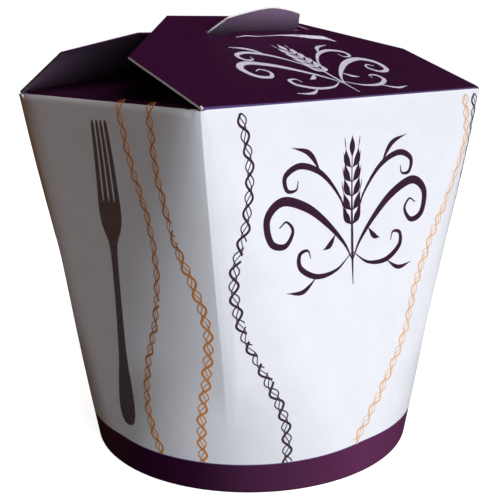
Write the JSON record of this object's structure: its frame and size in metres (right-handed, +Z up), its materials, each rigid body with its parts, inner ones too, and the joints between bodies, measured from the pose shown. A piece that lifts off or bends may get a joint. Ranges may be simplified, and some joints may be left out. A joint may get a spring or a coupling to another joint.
{
  "type": "noodle takeaway box",
  "caption": "Shut paperboard food pail, round at the base and rectangular at the rim, with overlapping lid flaps locked by a tongue through a slot.",
  "frame": {"origin": "centre of the round base, on the surface that the box stands on", "axes": "+Z up; -Y out of the front wall, whose lid flap lies on top and has the slot; +X to the right, seen from the front"},
  "size_m": [0.098, 0.093, 0.1217],
  "materials": {
    "printed_board": "white coated paperboard, gloss varnish",
    "plum_board": "paperboard printed dark plum, gloss varnish, white cut edges",
    "plain_board": "uncoated white paperboard"
  },
  "bodies": {
    "root": {"carton_body": "printed_board", "base_disc": "plain_board", "left_side_flap": "plum_board", "right_side_flap": "plum_board", "back_flap": "plum_board", "front_flap": "plum_board"}
  },
  "joints": []
}
